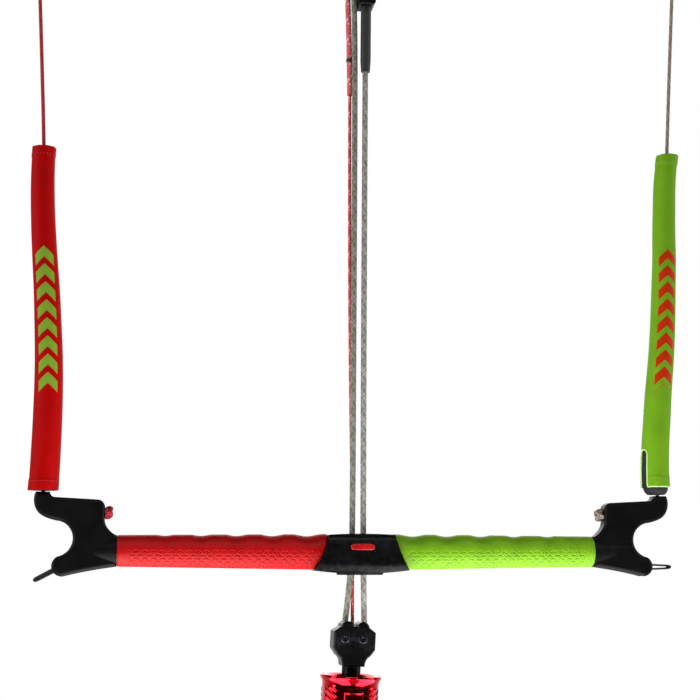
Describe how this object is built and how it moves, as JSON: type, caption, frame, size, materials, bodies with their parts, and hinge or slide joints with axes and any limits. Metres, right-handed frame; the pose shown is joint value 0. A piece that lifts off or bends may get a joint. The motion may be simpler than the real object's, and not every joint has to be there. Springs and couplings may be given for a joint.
{
  "type": "kitesurf control bar",
  "caption": "Kite control bar with hand grips, winding ends, floats on leaders, depower lines, cleat, swivel, push-away release and harness loop.",
  "frame": {"origin": "centre of the bar on its axis, midway between the two hand grips", "axes": "+X along the bar, +Z towards the kite, -Y towards the viewer"},
  "size_m": [0.5993, 0.0522, 0.9136],
  "materials": {
    "black_moulding": "satin moulded black",
    "steel": "brushed",
    "tube_alloy": "drawn",
    "black_alloy": "black anodised",
    "acetal": "smooth",
    "red_grip": "textured foam",
    "green_grip": "textured foam",
    "black_webbing": "woven",
    "red_leader": "braided",
    "grey_leader": "braided",
    "black_foam": "closed-cell foam",
    "red_cloth": "sewn cloth",
    "green_cloth": "sewn cloth",
    "grey_rope": "braided",
    "safety_red": "braided",
    "black_sleeve": "heat-shrunk, matte",
    "red_handle": "red anodised, polished",
    "black_cover": "smooth satin"
  },
  "bodies": {
    "bar": {"hub_front_shell": "black_moulding", "hub_back_shell": "black_moulding", "hub_screws": "steel", "bar_tube_left": "tube_alloy", "bar_tube_right": "tube_alloy", "grip_left": "red_grip", "grip_right": "green_grip", "bar_end_left": "black_moulding", "bar_end_right": "black_moulding", "winder_loop_pins": "steel", "leader_knot_left": "red_leader", "leader_knot_right": "grey_leader"},
    "guide": {"line_guide": "black_moulding"},
    "winder_left": {"winder_loop_left": "black_webbing"},
    "winder_right": {"winder_loop_right": "black_webbing"},
    "leader_set_left": {"float_core_left": "black_foam", "float_cover_left": "red_cloth", "leader_left": "red_leader", "leader_loop_left": "red_leader"},
    "leader_set_right": {"float_core_right": "black_foam", "float_cover_right": "green_cloth", "leader_right": "grey_leader", "leader_loop_right": "grey_leader"},
    "trim_lines": {"depower_line_left": "grey_rope", "depower_line_right": "grey_rope", "safety_line": "safety_red", "safety_splice": "safety_red", "safety_whipping": "black_webbing", "safety_end_loop": "safety_red", "cleat_sleeve": "black_sleeve", "cleat_body": "black_moulding", "pulley_cheeks": "steel", "pulley_pin": "steel", "head_front_shell": "black_moulding", "head_back_shell": "black_moulding", "head_pins": "steel", "line_eyes": "grey_rope", "swivel_washer": "acetal"},
    "pulley": {"pulley_sheave": "black_moulding"},
    "release": {"swivel_stem": "black_alloy", "release_body": "black_alloy", "loop_pivot_pin": "steel", "release_spring": "steel"},
    "handle": {"release_handle": "red_handle"},
    "harness": {"harness_loop": "black_cover", "finger_pin": "steel"},
    "finger": {"loop_finger": "black_cover"}
  },
  "joints": [
    {"name": "line_tilt", "type": "hinge", "parent": "bar", "child": "guide", "pos_m": [0, 0, 0], "axis": [0, 1, 0], "range_deg": [-10, 10]},
    {"name": "sheeting", "type": "slide", "parent": "guide", "child": "trim_lines", "axis": [0, 0, 1], "range_m": [-0.385, 0.03]},
    {"name": "pulley_turn", "type": "hinge", "parent": "trim_lines", "child": "pulley", "pos_m": [0, 0, 0.566], "axis": [0, 1, 0], "continuous": true},
    {"name": "release_swivel", "type": "hinge", "parent": "trim_lines", "child": "release", "pos_m": [-0.00676, 0, -0.08476], "axis": [0.0523, 0, 0.9986], "continuous": true},
    {"name": "handle_push", "type": "slide", "parent": "release", "child": "handle", "axis": [0.0523, 0, 0.9986], "range_m": [0, 0.0065], "stiffness_N_per_m": 900, "springref_m": -0.004, "deforming": ["release_spring"]},
    {"name": "loop_open", "type": "hinge", "parent": "release", "child": "harness", "pos_m": [0.0042, 0, -0.2005], "axis": [0, -1, 0], "range_deg": [0, 105]},
    {"name": "finger_swing", "type": "hinge", "parent": "harness", "child": "finger", "pos_m": [0.02513, 0, -0.24065], "axis": [0, -1, 0], "range_deg": [0, 75]},
    {"name": "winder_flip_left", "type": "hinge", "parent": "bar", "child": "winder_left", "pos_m": [-0.2518, 0, -0.013], "axis": [0, 1, 0], "range_deg": [-45, 90]},
    {"name": "winder_flip_right", "type": "hinge", "parent": "bar", "child": "winder_right", "pos_m": [0.2518, 0, -0.013], "axis": [0, 1, 0], "range_deg": [-65, 65]},
    {"name": "leader_swing_left", "type": "hinge", "parent": "bar", "child": "leader_set_left", "pos_m": [-0.268, 0, 0.045], "axis": [0, 1, 0], "range_deg": [-10, 10]},
    {"name": "leader_swing_right", "type": "hinge", "parent": "bar", "child": "leader_set_right", "pos_m": [0.268, 0, 0.045], "axis": [0, 1, 0], "range_deg": [-10, 10]}
  ],
  "couplings": [
    {"joint": "leader_swing_left", "follows": "line_tilt", "ratio": 1},
    {"joint": "leader_swing_right", "follows": "line_tilt", "ratio": 1}
  ]
}
